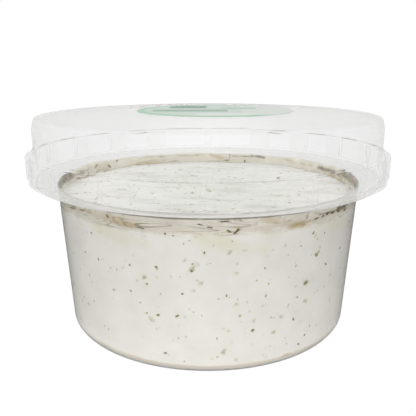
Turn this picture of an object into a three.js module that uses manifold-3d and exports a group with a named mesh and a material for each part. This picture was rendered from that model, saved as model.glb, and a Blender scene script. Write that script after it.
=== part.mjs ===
// A round see-through plastic tub of feta dip with herbs, under its tall press-on lid.
// Units are millimetres, +Z is up, and the origin is the middle of the ring the tub stands on.
// Four pieces: the tub, the dip that fills it, the lid, and the round label on top of the lid.

import * as THREE from 'three';
import { mergeVertices } from 'three/addons/utils/BufferGeometryUtils.js';
import Module from 'manifold-3d';

// ---- driving dimensions -------------------------------------------------------------------

const SEGMENTS = 64;              // flats round every turned shape
const CORNER_STEPS = 3;           // straight pieces in a rounded corner

// Tub
const FOOT_RADIUS = 40.3;         // outside of the wall where it meets the foot
const MOUTH_RADIUS = 42.6;        // outside of the wall under the flange
const MOUTH_HEIGHT = 40.1;
const TUB_WALL = 0.5;
const FOOT_CORNER = 1.2;          // outside rounding between wall and foot
const FOOT_RING_WIDTH = 1.6;      // the ring that touches the table
const FLOOR_HEIGHT = 0.75;        // underside of the floor, inside that ring
const FLOOR_THICKNESS = 0.55;
const FLANGE_RADIUS = 48.4;
const FLANGE_TOP = 41.2;
const FLANGE_THICKNESS = 0.6;
const FLANGE_LAND = 1.4;          // width of the level outer part that carries the lid
const FLANGE_FALL = 0.7;          // how far the flange drops from there to the mouth
const MOUTH_ROUNDING = 0.9;       // bend from the wall into the flange

// Dip
const FILL_HEIGHT = 36.8;
const WALL_GAP = 0.3;             // kept between dip and tub
const FLOOR_GAP = 0.1;
const DIP_EDGE = 0.8;             // soft corner between the dip's side and its top
const TOP_RINGS = 11;             // rings of points over the dip's top

// Herb flakes on the dip
const HERB_COUNT = 40;
const FLAKE_RADIUS = 0.5;
const FLAKE_TOP_RADIUS = 0.42;
const FLAKE_HEIGHT = 0.4;
const FLAKE_RISE = 0.04;          // how far its middle lies above the dip
const FLAKE_MARGIN = 3;           // kept free at the dip's edge
const GOLDEN_ANGLE = Math.PI * (3 - Math.sqrt(5));

// Lid
const SKIRT_RADIUS = 49.4;
const SKIRT_FOOT = 41.0;
const SHOULDER_HEIGHT = 48.75;
const SHOULDER_ROUNDING = 0.7;
const CAP_RADIUS = 48.15;
const CAP_WALL_TOP = 54.9;        // where the upright wall starts to lean in
const CAP_EDGE_RADIUS = 47.5;
const CAP_EDGE_HEIGHT = 57.75;
const CAP_EDGE_ROUNDING = 0.7;
const PANEL_RADIUS = 27;          // flat, slightly raised middle of the top
const PANEL_HEIGHT = 58.65;
const LID_WALL = 0.5;
const LEDGE_RADIUS = 47.5;        // inner edge of the ring that sits on the flange
const LEDGE_THICKNESS = 0.8;

// Grip ribs of the skirt
const RIB_RADIUS = 50.35;
const RIB_BOTTOM = 41.35;
const RIB_TOP = 48.25;
const RIB_PITCH = 18;             // degrees
const RIB_WIDTH = 8.6;            // degrees
const RIB_START = 0.7;            // degrees from a multiple of the pitch to a wide rib's edge
const NARROW_RIB_WIDTH = 3;       // degrees, the rib at front, back, left and right
const RIBS_PER_QUARTER = 4;
const RIB_CHAMFER = 0.3;

// Label
const LABEL_RADIUS = 22;
const LABEL_OFFSET = 2;           // off the middle, towards +X
const LABEL_THICKNESS = 0.15;

const wasm = await Module();
wasm.setup();

// ---- shared helpers -----------------------------------------------------------------------

// Points on an arc in the (radius, height) plane, angles in degrees.
function arc(radius, height, size, from, to, steps) {
  const points = [];
  for (let i = 0; i <= steps; i += 1) {
    const angle = THREE.MathUtils.degToRad(from + (to - from) * (i / steps));
    points.push([radius + size * Math.cos(angle), height + size * Math.sin(angle)]);
  }
  return points;
}

// Turns a profile of [radius, height] points about the upright axis.
function turned(profile) {
  const points = profile.map(([radius, height]) => new THREE.Vector2(radius, height));
  const geometry = new THREE.LatheGeometry(points, SEGMENTS);
  geometry.rotateX(Math.PI / 2);
  return geometry;
}

// Only positions, shared between triangles, and no triangle without an area.
function welded(geometry) {
  const bare = geometry.clone();
  bare.deleteAttribute('normal');
  bare.deleteAttribute('uv');
  const merged = mergeVertices(bare, 1e-4);
  const kept = [];
  const corners = merged.index.array;
  for (let i = 0; i < corners.length; i += 3) {
    const [a, b, c] = [corners[i], corners[i + 1], corners[i + 2]];
    if (a !== b && b !== c && c !== a) kept.push(a, b, c);
  }
  merged.setIndex(kept);
  return merged;
}

function toSolid(geometry) {
  const clean = welded(geometry);
  const mesh = new wasm.Mesh({
    numProp: 3,
    vertProperties: Float32Array.from(clean.attributes.position.array),
    triVerts: Uint32Array.from(clean.index.array),
  });
  return new wasm.Manifold(mesh);
}

function toGeometry(solid) {
  const { vertProperties, triVerts } = solid.getMesh();
  const geometry = new THREE.BufferGeometry();
  geometry.setAttribute('position', new THREE.BufferAttribute(vertProperties, 3));
  geometry.setIndex(new THREE.BufferAttribute(triVerts, 1));
  geometry.computeVertexNormals();
  return geometry;
}

function piece(name, geometry, look) {
  const mesh = new THREE.Mesh(geometry, new THREE.MeshStandardMaterial(look));
  mesh.name = name;
  return mesh;
}

// ---- tub ----------------------------------------------------------------------------------

// Outside radius of the leaning wall at a height.
function wallRadius(height) {
  return THREE.MathUtils.mapLinear(height, 0, MOUTH_HEIGHT, FOOT_RADIUS, MOUTH_RADIUS);
}

function makeTub() {
  const ringInside = FOOT_RADIUS - FOOT_CORNER - FOOT_RING_WIDTH;
  const floorTop = FLOOR_HEIGHT + FLOOR_THICKNESS;
  const bendCentre = MOUTH_RADIUS + MOUTH_ROUNDING;
  const bendBottom = FLANGE_TOP - FLANGE_FALL - FLANGE_THICKNESS - MOUTH_ROUNDING;
  const slopeEnd = FLANGE_RADIUS - FLANGE_LAND;
  return turned([
    [0, FLOOR_HEIGHT],
    [ringInside, FLOOR_HEIGHT],
    [ringInside + FLOOR_HEIGHT / 2, 0],
    ...arc(FOOT_RADIUS - FOOT_CORNER, FOOT_CORNER, FOOT_CORNER, -90, 0, CORNER_STEPS + 1),
    ...arc(bendCentre, bendBottom, MOUTH_ROUNDING, 180, 90, CORNER_STEPS),
    [slopeEnd, FLANGE_TOP - FLANGE_THICKNESS],
    [FLANGE_RADIUS, FLANGE_TOP - FLANGE_THICKNESS],
    [FLANGE_RADIUS, FLANGE_TOP],
    [slopeEnd, FLANGE_TOP],
    ...arc(bendCentre, bendBottom, MOUTH_ROUNDING + TUB_WALL, 90, 180, CORNER_STEPS),
    [wallRadius(floorTop + TUB_WALL) - TUB_WALL, floorTop + TUB_WALL],
    [wallRadius(floorTop) - TUB_WALL * 2, floorTop],
    [0, floorTop],
  ]);
}

// ---- dip ----------------------------------------------------------------------------------

// Repeatable numbers between 0 and 1.
function makeRandom(seed) {
  let state = seed;
  return () => {
    state = (state * 1664525 + 1013904223) % 4294967296;
    return state / 4294967296;
  };
}

// Shallow waves left by filling the tub: [height, wavelength, direction in degrees, phase].
const WAVES = [
  [0.28, 31, 78, 0.6],
  [0.20, 17, 112, 2.1],
  [0.12, 9.5, 64, 4.0],
  [0.10, 12, 8, 1.2],
];

// Height of the dip's top above its fill level, fading out at the edge.
function reliefAt(x, y, edge) {
  let sum = 0;
  for (const [height, wavelength, direction, phase] of WAVES) {
    const angle = THREE.MathUtils.degToRad(direction);
    const along = x * Math.cos(angle) + y * Math.sin(angle);
    sum += height * Math.cos((2 * Math.PI * along) / wavelength + phase);
  }
  const share = Math.hypot(x, y) / edge;
  return sum * Math.max(0, 1 - share ** 4);
}

function makeDip() {
  const bottom = FLOOR_HEIGHT + FLOOR_THICKNESS + FLOOR_GAP;
  const side = (height) => wallRadius(height) - TUB_WALL - WALL_GAP;
  const topEdge = side(FILL_HEIGHT) - DIP_EDGE;
  const profile = [
    [0, bottom],
    [side(bottom) - DIP_EDGE, bottom],
    [side(bottom + DIP_EDGE), bottom + DIP_EDGE],
    ...arc(topEdge, FILL_HEIGHT - DIP_EDGE, DIP_EDGE, 0, 90, CORNER_STEPS),
  ];
  for (let i = TOP_RINGS - 1; i >= 0; i -= 1) {
    profile.push([(topEdge * i) / TOP_RINGS, FILL_HEIGHT]);
  }
  const geometry = turned(profile);
  const position = geometry.attributes.position;
  for (let i = 0; i < position.count; i += 1) {
    const [x, y, z] = [position.getX(i), position.getY(i), position.getZ(i)];
    if (z > FILL_HEIGHT - 1e-3) position.setZ(i, z + reliefAt(x, y, topEdge));
  }

  // Herb flakes lie half sunk on a spiral over the top, each a little different.
  const random = makeRandom(7);
  let solid = toSolid(geometry);
  for (let i = 0; i < HERB_COUNT; i += 1) {
    const reach = (topEdge - FLAKE_MARGIN) * Math.sqrt((i + 0.5) / HERB_COUNT);
    const angle = i * GOLDEN_ANGLE + 0.5 * random();
    const x = reach * Math.cos(angle);
    const y = reach * Math.sin(angle);
    const flake = new THREE.CylinderGeometry(FLAKE_TOP_RADIUS, FLAKE_RADIUS, FLAKE_HEIGHT, 6);
    flake.rotateX(Math.PI / 2);
    const length = 1 + 1.3 * random();
    const width = 0.6 + 0.5 * random();
    flake.scale(length, width, 1);
    flake.rotateZ(Math.PI * random());
    flake.translate(x, y, FILL_HEIGHT + reliefAt(x, y, topEdge) + FLAKE_RISE);
    solid = solid.add(toSolid(flake));
  }
  return toGeometry(solid);
}

// ---- lid ----------------------------------------------------------------------------------

// The cap from its upright wall, over the short lean-in, round the edge and up to the flat
// middle panel, moved in by the wall thickness for the inside.
function capTop(inset) {
  const cornerRadius = CAP_EDGE_RADIUS - CAP_EDGE_ROUNDING;
  const cornerHeight = CAP_EDGE_HEIGHT - CAP_EDGE_ROUNDING;
  const rounding = CAP_EDGE_ROUNDING - inset;
  return [
    [CAP_RADIUS - inset, CAP_WALL_TOP - inset / 2],
    ...arc(cornerRadius, cornerHeight, rounding, 0, 90, CORNER_STEPS),
    [PANEL_RADIUS, PANEL_HEIGHT - inset],
    [0, PANEL_HEIGHT - inset],
  ];
}

// A block that follows the skirt round, from one angle to another, for a rib or its hollow.
function ribBlock(from, to, inner, outer, bottom, top, chamfer) {
  const start = THREE.MathUtils.degToRad(from);
  const end = THREE.MathUtils.degToRad(to);
  const shape = new THREE.Shape();
  shape.absarc(0, 0, outer - chamfer, start, end, false);
  shape.absarc(0, 0, inner, end, start, true);
  shape.closePath();
  const geometry = new THREE.ExtrudeGeometry(shape, {
    depth: top - bottom - 2 * chamfer,
    curveSegments: CORNER_STEPS,
    bevelEnabled: chamfer > 0,
    bevelSegments: 1,
    bevelSize: chamfer,
    bevelThickness: chamfer,
  });
  geometry.translate(0, 0, bottom + chamfer);
  return geometry;
}

// The middle angle and width of each rib: four wide ones in every quarter, mirrored
// left to right and front to back, and a narrow one between the quarters.
function ribPlaces() {
  const places = [0, 90, 180, 270].map((middle) => [middle, NARROW_RIB_WIDTH]);
  for (let i = 1; i <= RIBS_PER_QUARTER; i += 1) {
    const middle = RIB_PITCH * i + RIB_START + RIB_WIDTH / 2;
    for (const centre of [90, 270]) {
      places.push([centre - middle, RIB_WIDTH]);
      places.push([centre + middle, RIB_WIDTH]);
    }
  }
  return places;
}

function makeLid() {
  const outside = turned([
    [0, SKIRT_FOOT],
    [SKIRT_RADIUS, SKIRT_FOOT],
    ...arc(SKIRT_RADIUS - SHOULDER_ROUNDING, SHOULDER_HEIGHT - SHOULDER_ROUNDING,
      SHOULDER_ROUNDING, 0, 90, CORNER_STEPS),
    [CAP_RADIUS, SHOULDER_HEIGHT],
    ...capTop(0),
  ]);
  const skirtInside = SKIRT_RADIUS - LID_WALL;
  const belowFoot = SKIRT_FOOT - LID_WALL;
  const inside = turned([
    [0, belowFoot],
    [skirtInside, belowFoot],
    [skirtInside, FLANGE_TOP],
    [LEDGE_RADIUS, FLANGE_TOP],
    [LEDGE_RADIUS, FLANGE_TOP + LEDGE_THICKNESS],
    [skirtInside, FLANGE_TOP + LEDGE_THICKNESS],
    [skirtInside, SHOULDER_HEIGHT - SHOULDER_ROUNDING],
    [SKIRT_RADIUS - SHOULDER_ROUNDING, SHOULDER_HEIGHT - LID_WALL],
    [CAP_RADIUS - LID_WALL, SHOULDER_HEIGHT - LID_WALL],
    ...capTop(LID_WALL),
  ]);

  let body = toSolid(outside);
  let hollow = toSolid(inside);
  for (const [middle, width] of ribPlaces()) {
    const [from, to] = [middle - width / 2, middle + width / 2];
    const inset = THREE.MathUtils.radToDeg(LID_WALL / RIB_RADIUS);
    const rib = ribBlock(
      from, to, SKIRT_RADIUS - LID_WALL / 2, RIB_RADIUS, RIB_BOTTOM, RIB_TOP, RIB_CHAMFER);
    const ribHollow = ribBlock(
      from + inset, to - inset, skirtInside - LID_WALL, RIB_RADIUS - LID_WALL,
      FLANGE_TOP + LEDGE_THICKNESS, RIB_TOP - LID_WALL, 0);
    body = body.add(toSolid(rib));
    hollow = hollow.add(toSolid(ribHollow));
  }
  return toGeometry(body.subtract(hollow));
}

// ---- label --------------------------------------------------------------------------------

function makeLabel() {
  const geometry = turned([
    [0, PANEL_HEIGHT],
    [LABEL_RADIUS, PANEL_HEIGHT],
    [LABEL_RADIUS, PANEL_HEIGHT + LABEL_THICKNESS],
    [0, PANEL_HEIGHT + LABEL_THICKNESS],
  ]);
  geometry.translate(LABEL_OFFSET, 0, 0);
  return geometry;
}

// ---- the whole ----------------------------------------------------------------------------

const clearPlastic = { roughness: 0.12, metalness: 0, transparent: true, opacity: 0.3 };

const object = new THREE.Group();
object.add(
  piece('tub', welded(makeTub()), { color: 0xf1f3f2, ...clearPlastic }),
  piece('dip', makeDip(), { color: 0xe4e1d8, roughness: 0.55, metalness: 0 }),
  piece('lid', makeLid(), { color: 0xeef0f0, ...clearPlastic }),
  piece('label', welded(makeLabel()), { color: 0xb9cdbd, roughness: 0.5, metalness: 0 }),
);

export default object;
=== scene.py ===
# %% [markdown]
# # A tub of feta dip under its lid
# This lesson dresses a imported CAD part, a round see-through tub of pale dip with herbs, in Blender.
# The part has one body and four solids: the tub, the dip, the lid and a round label. Each of them
# gets a finer surface here, worked out with numpy, and a material made from nodes.
# All sizes below are in millimetres. They turn into metres when a mesh is made.

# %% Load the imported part
import math

import bpy
import numpy as np
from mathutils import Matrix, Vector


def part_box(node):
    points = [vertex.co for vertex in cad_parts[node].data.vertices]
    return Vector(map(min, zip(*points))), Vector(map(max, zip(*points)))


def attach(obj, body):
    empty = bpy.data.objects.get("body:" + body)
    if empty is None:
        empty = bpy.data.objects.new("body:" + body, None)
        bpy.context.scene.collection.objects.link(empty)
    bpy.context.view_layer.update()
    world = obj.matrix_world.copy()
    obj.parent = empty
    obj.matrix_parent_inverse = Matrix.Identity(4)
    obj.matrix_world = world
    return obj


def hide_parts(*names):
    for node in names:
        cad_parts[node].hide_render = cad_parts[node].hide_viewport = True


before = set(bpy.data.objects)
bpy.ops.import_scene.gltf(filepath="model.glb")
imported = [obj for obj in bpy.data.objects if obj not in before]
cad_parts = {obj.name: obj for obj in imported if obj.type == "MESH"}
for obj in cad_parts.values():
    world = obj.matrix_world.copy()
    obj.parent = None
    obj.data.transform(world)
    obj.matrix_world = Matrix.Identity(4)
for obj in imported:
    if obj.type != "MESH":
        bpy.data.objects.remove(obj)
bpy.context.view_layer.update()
MM = 0.001
for node_name in sorted(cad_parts):
    low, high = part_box(node_name)
    print(f"{node_name}: {[round(c / MM, 1) for c in low]} to {[round(c / MM, 1) for c in high]}")

# %% [markdown]
# ## The camera
# The picture was taken a little from above with a short distance to the tub, so its rings look
# wide open. The camera's place, tilt and lens were fitted to four of those rings: the lid's ledge,
# its shoulder, the tub's rim and its foot. It looks along +Y, so the side that shows is -Y.

# %% Camera
CAMERA_DISTANCE = 149.43          # from the tub's axis
CAMERA_HEIGHT = 69.73
CAMERA_TILT = 0.26053             # radians below level
FOCAL_PIXELS = 517.5
PICTURE_SIZE = 416
PICTURE_MIDDLE = 207.5            # the pixel that the lens points at, both ways
SENSOR_WIDTH = 36
NEAREST = 10                      # the camera sees nothing closer than this

camera_data = bpy.data.cameras.new("camera")
camera_data.sensor_width = SENSOR_WIDTH
camera_data.lens = FOCAL_PIXELS / PICTURE_SIZE * SENSOR_WIDTH
camera_data.clip_start = NEAREST * MM
camera = bpy.data.objects.new("camera", camera_data)
camera.location = (0, -CAMERA_DISTANCE * MM, CAMERA_HEIGHT * MM)
camera.rotation_euler = (math.pi / 2 - CAMERA_TILT, 0, 0)
bpy.context.scene.collection.objects.link(camera)
bpy.context.scene.camera = camera
print(f"lens {camera_data.lens:.2f} mm, {math.degrees(CAMERA_TILT):.1f} degrees down")

# %% [markdown]
# ## Colours and nodes
# A colour is read off a screen as sRGB hex, but the renderer counts light in linear steps, so one
# function turns the first into the second. A second small function adds any shader node, with its
# settings by name. Each input is set to a value, or linked to a socket, or to a node's first
# output. A third function starts an empty material, and a fourth writes the stops of a ramp.

# %% Helpers for materials
def linear(hex_colour):
    """Each channel c of an sRGB colour, 0 to 1, becomes ((c + 0.055) / 1.055) to the power 2.4,
    or c / 12.92 where it is very dark. Alpha is 1."""
    channels = np.array([int(hex_colour[i:i + 2], 16) for i in (0, 2, 4)]) / 255
    bright = ((channels + 0.055) / 1.055) ** 2.4
    return (*np.where(channels > 0.04045, bright, channels / 12.92).tolist(), 1.0)


def add(tree, kind, inputs=None, **settings):
    """Adds a node, gives it its settings, and sets or links its inputs, named or numbered. A node
    given as an input stands for its first output."""
    made = tree.nodes.new("ShaderNode" + kind)
    for name, value in settings.items():
        setattr(made, name, value)
    for key, value in (inputs or {}).items():
        if isinstance(value, bpy.types.Node):
            value = value.outputs[0]
        if isinstance(value, bpy.types.NodeSocket):
            tree.links.new(value, made.inputs[key])
        else:
            made.inputs[key].default_value = value
    return made


def new_material(name):
    """An empty node material, with its tree and its object coordinates."""
    material = bpy.data.materials.new(name)
    material.use_nodes = True
    material.node_tree.nodes.clear()
    tree = material.node_tree
    return material, tree, add(tree, "TexCoord").outputs["Object"]


def put_stops(ramp, stops):
    """Gives a colour ramp the stops (place, colour) in place of its own two."""
    elements = ramp.color_ramp.elements
    for place, colour in stops:
        elements.new(place).color = colour
    elements.remove(elements[0])
    elements.remove(elements[-1])


def by_ray(tree, strength, seen):
    """Mixes in another strength for each kind of ray. The last kind that fits a ray wins."""
    path = add(tree, "LightPath")
    for kind, other in seen:
        strength = add(tree, "Mix", {"Factor": path.outputs[kind], "A": strength, "B": other})
    return strength


print("white becomes", linear("FFFFFF"), "and mid grey", linear("808080"))

# %% [markdown]
# ## Light
# The tub stands on a shining white table in a white room with soft lamps. What shows through
# clear plastic is nearly white. What the plastic mirrors, and what lights the dip, falls off to the
# left and right, because the room is darker there, and that shades the tub's sides and draws its
# edges. So the room's brightness goes by the kind of ray: even where it shows through plastic, by
# direction where it lights a matt surface, and the same but dimmer where it is mirrored. The
# camera itself sees plain white. The film look is switched off, so white stays white.

# %% Room light
BEHIND = 0.9                      # the room's brightness in each direction
IN_FRONT = 0.9
AT_THE_SIDES = 0.15
LAMPS = 0.9                       # added by the lamps, which hang 30 degrees above eye height
RIGHT_SHADE = 0.14                # how much the right side is darker than the left
SEEN_THROUGH = 0.99               # brightness of what shows through plastic
MIRRORED = 0.20                   # share of the room's brightness that a mirroring surface sees

scene = bpy.context.scene
scene.view_settings.view_transform = "Standard"
scene.cycles.max_bounces = 24
scene.cycles.transmission_bounces = 24
scene.cycles.glossy_bounces = 8
scene.cycles.diffuse_bounces = 5
scene.cycles.transparent_max_bounces = 32

room = bpy.data.worlds.new("white_room")
room.use_nodes = True
scene.world = room
tree = room.node_tree
tree.nodes.clear()
direction = add(tree, "SeparateXYZ", {0: add(tree, "TexCoord").outputs["Generated"]})
depth = add(tree, "MapRange", {"Value": direction.outputs["Y"], "From Min": -1})
around = add(tree, "ValToRGB", {0: depth})
put_stops(around, [(place, (grey, grey, grey, 1)) for place, grey in (
    (0.0, IN_FRONT), (0.5, AT_THE_SIDES), (0.999, BEHIND))])
up = add(tree, "Clamp", {0: direction.outputs["Z"]})
down_from_top = add(tree, "Math", {0: 1.0, 1: up}, operation="SUBTRACT")
hump = add(tree, "Math", {0: up, 1: down_from_top}, operation="MULTIPLY")
above = add(tree, "Math", {0: hump, 1: 4 * LAMPS}, operation="MULTIPLY")   # the hump is 1/4 high
sideways = add(tree, "Math", {0: direction.outputs["X"], 1: -RIGHT_SHADE}, operation="MULTIPLY")
lifted = add(tree, "Math", {0: above, 1: sideways}, operation="ADD")
total = add(tree, "Math", {0: around, 1: lifted}, operation="ADD")
dimmed = add(tree, "Math", {0: total, 1: MIRRORED}, operation="MULTIPLY")
strength = by_ray(tree, total, (
    ("Is Glossy Ray", dimmed), ("Is Transmission Ray", SEEN_THROUGH), ("Is Camera Ray", 1.0)))
background = add(tree, "Background", {"Color": (1, 1, 1, 1), "Strength": strength})
add(tree, "OutputWorld", {"Surface": background})
print("the room has", len(tree.nodes), "nodes")

# %% [markdown]
# ## Turned surfaces
# A tub, a lid and a filled tub are all turned on an axis: one outline is carried round in a circle.
# The outline is written as its corners, each with the radius of its rounding, and a function puts
# the arcs in. Beside each arc it holds the straight side with one more point, so that smooth
# shading keeps the flat parts flat, and reflections on the plastic stay clean.

# %% Outline with rounded corners
HOLD = 0.12                       # from an arc's end to the point that holds the straight side


def rounded(corners, steps=5):
    """Points through the corners (radius, height, rounding). At a corner P whose sides leave in
    the directions u and v at an angle t, an arc of radius R touches them R / tan(t / 2) away from
    P, and its centre is R / sin(t / 2) away on the line halfway between them."""
    points = [np.array([corners[0][:2]])]
    for before, (r, z, rounding), after in zip(corners, corners[1:-1], corners[2:]):
        corner = np.array([r, z])
        u = np.array(before[:2]) - corner
        v = np.array(after[:2]) - corner
        u_length, v_length = np.linalg.norm(u), np.linalg.norm(v)
        u, v = u / u_length, v / v_length
        half = math.acos(np.clip(u @ v, -1, 1)) / 2
        reach = rounding / math.tan(half)
        middle = (u + v) / np.linalg.norm(u + v)
        centre = corner + middle * rounding / math.sin(half)
        turn = np.linspace(-1, 1, steps + 1)[:, None] * (math.pi / 2 - half)
        across = (v - u) / np.linalg.norm(v - u)
        arc = centre + rounding * (across * np.sin(turn) - middle * np.cos(turn))
        held = [corner + u * (reach + HOLD)] if reach + 2 * HOLD < u_length else []
        freed = [corner + v * (reach + HOLD)] if reach + 2 * HOLD < v_length else []
        points.append(np.vstack([*held, arc, *freed]))
    points.append(np.array([corners[-1][:2]]))
    return np.vstack(points)


print("a square corner rounded by 1 mm:", rounded([(2, 0), (2, 2, 1), (0, 2)], 3).round(2).tolist())

# %% Mesh from points and faces
def put_mesh(name, points, faces, colours=None):
    """Makes an object from points in millimetres and faces of three or four corners each. A face
    whose fourth corner is -1 is a triangle. colours are named arrays with a value at each point."""
    flat = faces[faces >= 0]
    sizes = (faces >= 0).sum(1)
    starts = np.concatenate([[0], np.cumsum(sizes)[:-1]])
    mesh = bpy.data.meshes.new(name)
    mesh.vertices.add(len(points))
    mesh.vertices.foreach_set("co", (points * MM).astype(np.float32).ravel())
    mesh.loops.add(len(flat))
    mesh.loops.foreach_set("vertex_index", flat.astype(np.int32))
    mesh.polygons.add(len(sizes))
    mesh.polygons.foreach_set("loop_start", starts.astype(np.int32))
    mesh.polygons.foreach_set("use_smooth", np.ones(len(sizes), bool))
    for key, values in (colours or {}).items():
        layer = mesh.attributes.new(key, "FLOAT", "POINT")
        layer.data.foreach_set("value", values.astype(np.float32))
    mesh.update(calc_edges=True)
    mesh.validate()
    piece = bpy.data.objects.new(name, mesh)
    bpy.context.scene.collection.objects.link(piece)
    print(f"{name}: {len(points)} points, {int((sizes - 2).sum())} triangles")
    return piece


def even_angles(count):
    """Angles all round in even steps, starting at the back."""
    return -np.pi + 2 * np.pi * np.arange(count) / count


def around_axis(radius, height, angle):
    """Points at a radius, height and angle. The angle a is measured from the front, so
    x = r sin a and y = -r cos a. A column of radii and a row of angles give a grid."""
    x = radius * np.sin(angle)
    return np.stack([x, -radius * np.cos(angle), np.broadcast_to(height, x.shape)], axis=-1)


def from_axis(points):
    """Distance from the axis."""
    return np.hypot(points[:, 0], points[:, 1])


def between_rows(low, high, columns):
    """Four-cornered faces between rows of points that close round the axis. low and high are
    columns of numbers: the first point of each row, and of the row that follows it."""
    here = np.arange(columns)
    after = np.roll(here, -1)
    return np.stack([low + here, low + after, high + after, high + here], axis=-1).reshape(-1, 4)


def turned_points(radius, height, angles):
    """Points of a turned surface. The first and last row lie on the axis: one point each."""
    grid = around_axis(radius, height, angles)
    return np.vstack([grid[:1, 0], grid[1:-1].reshape(-1, 3), grid[-1:, 0]])


def turned_faces(rows, columns):
    """Faces of a turned surface: point 0 is the start of the outline on the axis, then come the
    rows of points all round, and the last point is the outline's end on the axis."""
    here = np.arange(columns)
    after = np.roll(here, -1)
    none = np.full(columns, -1)
    low = 1 + columns * np.arange(rows - 1)[:, None]
    last = 1 + columns * (rows - 1)
    start = np.stack([np.zeros(columns, int), 1 + after, 1 + here, none], axis=-1)
    end = np.stack([last + here, last + after, np.full(columns, last + columns), none], axis=-1)
    return np.vstack([start, between_rows(low, low + columns, columns), end])


print("a turned surface of 3 rows and 4 columns has", len(turned_faces(3, 4)), "faces")

# %% [markdown]
# ## The tub
# It is injection-moulded polypropylene, about half a millimetre thick: a flat floor raised inside
# a small standing ring, a wall that leans out a little so that tubs stack, and at the mouth a
# thin flange that slopes out to a level rim, which carries the lid. The whole wall, outside and
# inside, is one outline. A closed outline matters: light has to enter the plastic at one face and
# leave it at another.

# %% Tub outline and mesh
FOOT_RADIUS = 40.3
MOUTH_RADIUS = 42.6
MOUTH_HEIGHT = 40.1
TUB_WALL = 0.5
FLOOR_HEIGHT = 0.75
FLOOR_TOP = 1.3
RING_INSIDE = 37.5
RING_SLOPE = 0.45                 # how much wider the ring is at its foot
OUTER_BEND = 39.6                 # height where the wall's outside turns into the flange
INNER_BEND = 39.95                # and its inside
FLANGE_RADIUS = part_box("tub")[1].x / MM
FLANGE_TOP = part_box("tub")[1].z / MM
FLANGE_THICKNESS = 0.6
FLANGE_LAND = 1.4                 # level part of the flange that carries the lid
MOUTH_ROUNDING = 1.4              # inside rounding of the tub's mouth
TUB_COLUMNS = 256
FILL_HEIGHT = 36.8                # level of the dip


def wall_radius(height):
    """Outside radius of the leaning wall: it grows in a straight line from foot to mouth."""
    return FOOT_RADIUS + (MOUTH_RADIUS - FOOT_RADIUS) * height / MOUTH_HEIGHT


def inner_radius(height):
    """Inside radius of the leaning wall."""
    return wall_radius(height) - TUB_WALL


slope_end = FLANGE_RADIUS - FLANGE_LAND
tub_outline = rounded([
    (0, FLOOR_HEIGHT),
    (RING_INSIDE, FLOOR_HEIGHT, 0.4),
    (RING_INSIDE + RING_SLOPE, 0, 0.25),
    (FOOT_RADIUS, 0, 1.6),
    (wall_radius(OUTER_BEND), OUTER_BEND, 0.9),
    (slope_end, FLANGE_TOP - FLANGE_THICKNESS, 0.5),
    (FLANGE_RADIUS, FLANGE_TOP - FLANGE_THICKNESS, 0.2),
    (FLANGE_RADIUS, FLANGE_TOP, 0.25),
    (slope_end, FLANGE_TOP, 0.5),
    (inner_radius(INNER_BEND), INNER_BEND, MOUTH_ROUNDING),
    (inner_radius(FLOOR_TOP), FLOOR_TOP, 0.7),
    (0, FLOOR_TOP),
])
tub_angles = even_angles(TUB_COLUMNS)
tub_points = turned_points(tub_outline[:, :1], tub_outline[:, 1:], tub_angles)
tub_shell = put_mesh("tub_shell", tub_points, turned_faces(len(tub_outline) - 2, TUB_COLUMNS))
print(f"the tub's outline has {len(tub_outline)} points")

# %% [markdown]
# ## The dip
# The dip fills the tub, so its side is pressed against the plastic and shows through it. If a gap
# of air were left there, the wall would mirror like a fish tank, so this surface reaches a
# few hundredths of a millimetre into the plastic. Its top is a soft field of swirls from the
# filling nozzle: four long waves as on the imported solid, and finer ones that follow the spoon.

# %% Dip mesh
INTO_WALL = 0.06                  # how far the dip reaches into the plastic
FILM_INTO_WALL = 0.10             # the film above reaches further, and covers the dip's edge
DIP_COLUMNS = 400
SIDE_ROWS = 90
TOP_RINGS = 70
BOTTOM_RINGS = 8
DIP_EDGE = 0.2                    # rounding where the top meets the wall
CREEP_REACH = 3                   # width of the zone at the wall where the dip's level wavers
CREEP_WAVES = (                   # how many waves go round the tub, their height and phase
    (2, 0.10, 1.0), (5, 0.22, 0.3), (9, 0.20, 2.0),
    (17, 0.16, 4.0), (31, 0.12, 0.5), (47, 0.08, 1.9),
)
SWIRL_HEIGHT = 0.09
WAVES = (                         # height, wavelength, direction in degrees, phase
    (0.28, 31, 78, 0.6),
    (0.20, 17, 112, 2.1),
    (0.12, 9.5, 64, 4.0),
    (0.10, 12, 8, 1.2),
)


def relief(x, y):
    """Height of the dip's top above its fill level. Each wave is h cos(2 pi d / length + phase),
    where d is the distance along its direction. The swirl is a sine of the distance from a point
    off the middle, bent by two slower waves. All fade out as 1 - (r / edge)^4."""
    total_height = np.zeros_like(x)
    for height, wavelength, degrees, phase in WAVES:
        turn = math.radians(degrees)
        along = x * math.cos(turn) + y * math.sin(turn)
        total_height += height * np.cos(2 * np.pi * along / wavelength + phase)
    swirl = np.sin(0.55 * np.hypot(x - 9, y + 6) + 2.2 * np.sin(0.11 * x) + 1.6 * np.cos(0.13 * y))
    total_height += SWIRL_HEIGHT * swirl
    share = np.hypot(x, y) / inner_radius(FILL_HEIGHT)
    return total_height * np.clip(1 - share ** 4, 0, 1)


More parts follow.
